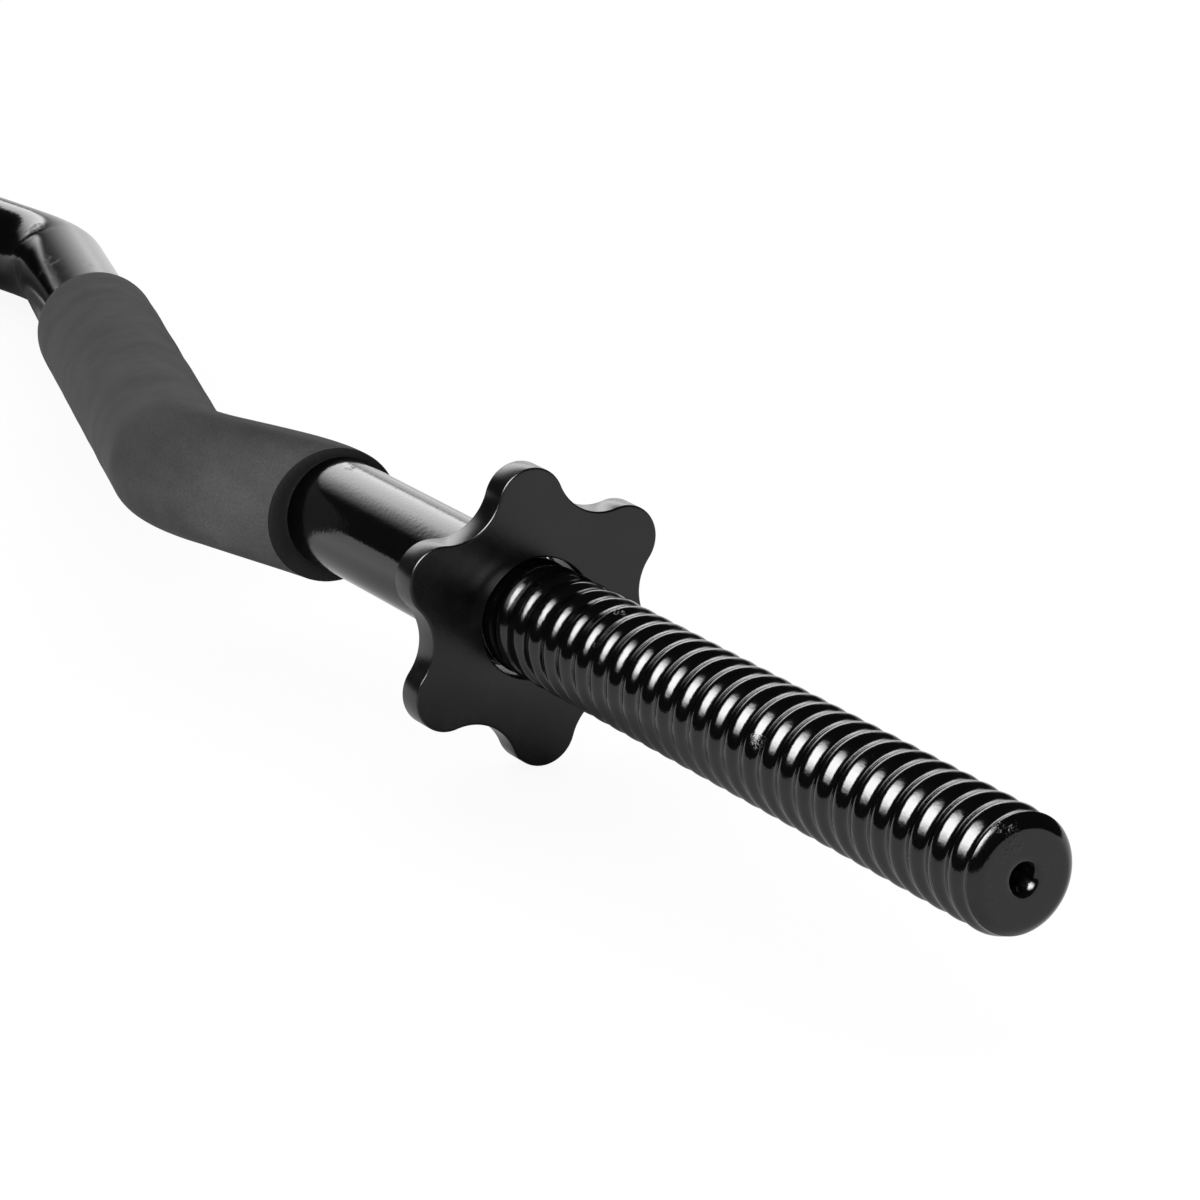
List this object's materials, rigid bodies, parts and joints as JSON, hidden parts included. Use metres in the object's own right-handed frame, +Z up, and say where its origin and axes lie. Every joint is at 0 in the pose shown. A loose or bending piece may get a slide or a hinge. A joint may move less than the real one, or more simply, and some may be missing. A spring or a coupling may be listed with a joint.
{
  "type": "ez curl bar",
  "caption": "Bent steel curl bar with threaded ends, foam hand grips over its bends and a six-lobed star nut screwed on each end to hold weight plates.",
  "frame": {"origin": "on the floor that the bar lies on, under the middle of its box and midway between the two tips", "axes": "+X along the threaded ends to the right-hand tip, +Z up as the bar lies on a floor, +Y towards the side that the middle bend stands out on"},
  "size_m": [1.194, 0.1294, 0.0667],
  "materials": {
    "bar_steel": "gloss black coating on solid steel",
    "grip_foam": "matte dark grey closed-cell foam",
    "nut_metal": "gloss black paint with a slight orange-peel surface",
    "ring_rubber": "matte black rubber"
  },
  "bodies": {
    "bar": {"curl_bar": "bar_steel", "right_foam_grip": "grip_foam", "left_foam_grip": "grip_foam"},
    "right_ring": {"right_rubber_ring": "ring_rubber"},
    "right_nut": {"right_star_nut": "nut_metal"},
    "left_ring": {"left_rubber_ring": "ring_rubber"},
    "left_nut": {"left_star_nut": "nut_metal"}
  },
  "joints": [
    {"name": "right_nut_travel", "type": "slide", "parent": "bar", "child": "right_ring", "axis": [1, 0, 0], "range_m": [0, 0.1755]},
    {"name": "right_nut_spin", "type": "hinge", "parent": "right_ring", "child": "right_nut", "pos_m": [0.417, -0.02416, 0.03336], "axis": [1, 0, 0], "range_deg": [0, 9720]},
    {"name": "left_nut_travel", "type": "slide", "parent": "bar", "child": "left_ring", "axis": [-1, 0, 0], "range_m": [0, 0.1755]},
    {"name": "left_nut_spin", "type": "hinge", "parent": "left_ring", "child": "left_nut", "pos_m": [-0.417, -0.02416, 0.03336], "axis": [-1, 0, 0], "range_deg": [0, 9720]}
  ],
  "couplings": [
    {"joint": "right_nut_travel", "follows": "right_nut_spin", "m_per_rad": 0.0010345},
    {"joint": "left_nut_travel", "follows": "left_nut_spin", "m_per_rad": 0.0010345}
  ]
}
